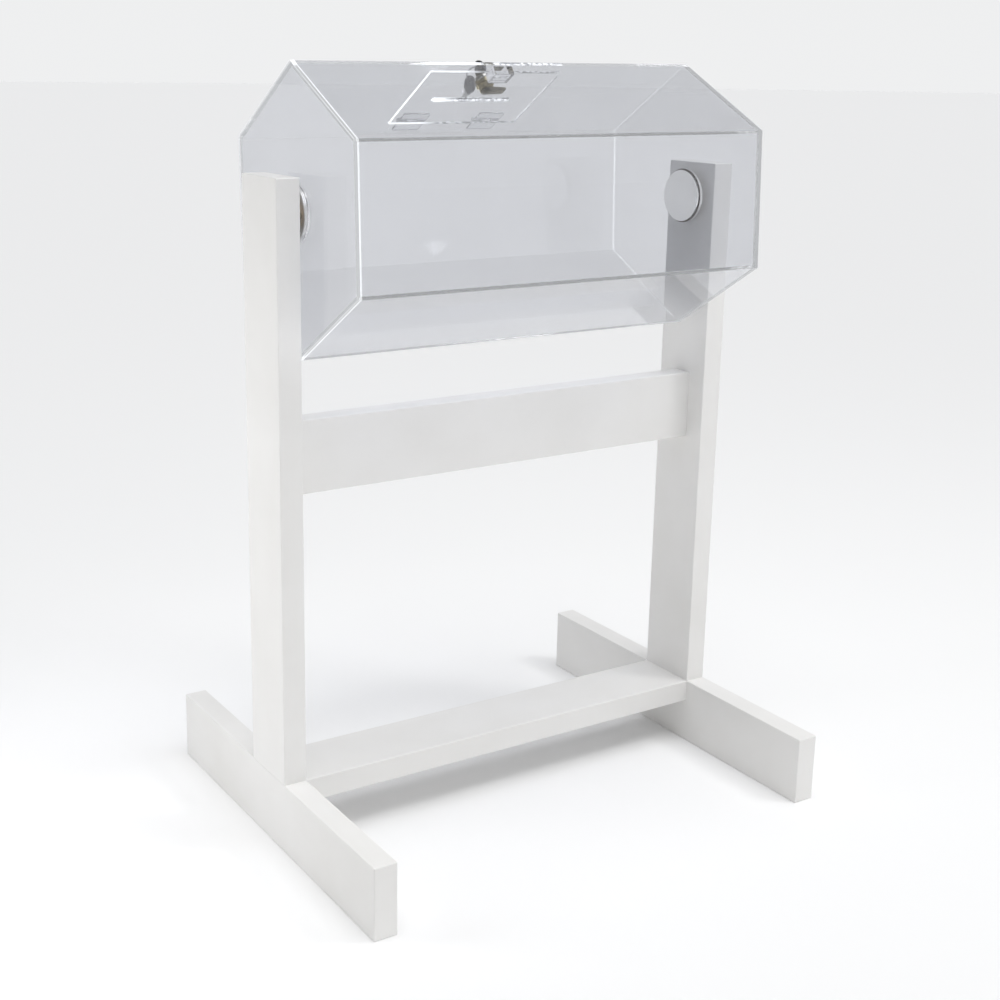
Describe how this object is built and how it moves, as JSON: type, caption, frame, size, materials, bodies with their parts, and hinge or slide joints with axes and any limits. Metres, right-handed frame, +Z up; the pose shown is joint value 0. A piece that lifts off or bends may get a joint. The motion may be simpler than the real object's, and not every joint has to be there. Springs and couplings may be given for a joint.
{
  "type": "raffle drum",
  "caption": "Clear hexagonal raffle drum that spins between the posts of a white wooden stand, with a hinged, slotted door and a cam lock.",
  "frame": {"origin": "on the floor, under the middle of the drum", "axes": "+X along the drum's axis from the left post to the right post, +Y to the back, +Z up"},
  "size_m": [0.7034, 0.568, 1.0009],
  "materials": {
    "white_paint": "satin white paint on wood",
    "dowel_wood": "bare beech",
    "clear_acrylic": "polished clear acrylic sheet",
    "white_plastic": "turned white plastic",
    "dark_steel": "blackened steel",
    "bronze": "sintered bronze",
    "nylon": "natural nylon",
    "zinc_steel": "zinc plated steel",
    "lock_chrome": "polished chrome plate",
    "lock_brass": "dull brass",
    "cam_steel": "dark plated steel",
    "key_plastic": "black moulded plastic",
    "key_steel": "nickel plated steel"
  },
  "bodies": {
    "stand": {"left_foot": "white_paint", "right_foot": "white_paint", "left_post": "white_paint", "right_post": "white_paint", "lower_stretcher": "white_paint", "upper_rail": "white_paint", "post_dowels": "dowel_wood", "stretcher_dowels": "dowel_wood", "rail_dowels": "dowel_wood", "left_bushing": "bronze", "right_bushing": "bronze", "left_spacer": "nylon", "right_spacer": "nylon"},
    "drum": {"left_end_plate": "clear_acrylic", "right_end_plate": "clear_acrylic", "upper_back_panel": "clear_acrylic", "back_panel": "clear_acrylic", "lower_back_panel": "clear_acrylic", "lower_front_panel": "clear_acrylic", "front_panel": "clear_acrylic", "upper_front_panel": "clear_acrylic", "left_hub_disc": "white_plastic", "right_hub_disc": "white_plastic", "left_axle_flange": "dark_steel", "right_axle_flange": "dark_steel", "hub_screws": "zinc_steel", "door_strike": "clear_acrylic", "left_hinge_drum_leaf": "clear_acrylic", "right_hinge_drum_leaf": "clear_acrylic", "hinge_pins": "zinc_steel"},
    "door": {"door_panel": "clear_acrylic", "left_hinge_door_leaf": "clear_acrylic", "right_hinge_door_leaf": "clear_acrylic", "lock_body": "lock_chrome", "lock_nut": "lock_brass"},
    "plug": {"lock_plug": "lock_brass", "lock_cam": "cam_steel", "cam_screw": "zinc_steel", "key_in_lock_bow": "key_plastic", "key_in_lock_blade": "key_steel"},
    "spare_key": {"key_ring": "lock_chrome", "spare_key_bow": "key_plastic", "spare_key_blade": "key_steel"}
  },
  "joints": [
    {"name": "drum_spin", "type": "hinge", "parent": "stand", "child": "drum", "pos_m": [0, 0, 0.819], "axis": [1, 0, 0], "continuous": true},
    {"name": "door_hinge", "type": "hinge", "parent": "drum", "child": "door", "pos_m": [0, 0.13591, 0.9217], "axis": [-1, 0, 0], "range_deg": [0, 150]},
    {"name": "lock_turn", "type": "hinge", "parent": "door", "child": "plug", "pos_m": [-0.009, 0.04357, 0.97588], "axis": [0, -0.5344, -0.8453], "range_deg": [0, 90]},
    {"name": "key_swing", "type": "hinge", "parent": "plug", "child": "spare_key", "pos_m": [-0.009, 0.05533, 0.99447], "axis": [1, 0, 0], "range_deg": [0, 75]}
  ]
}
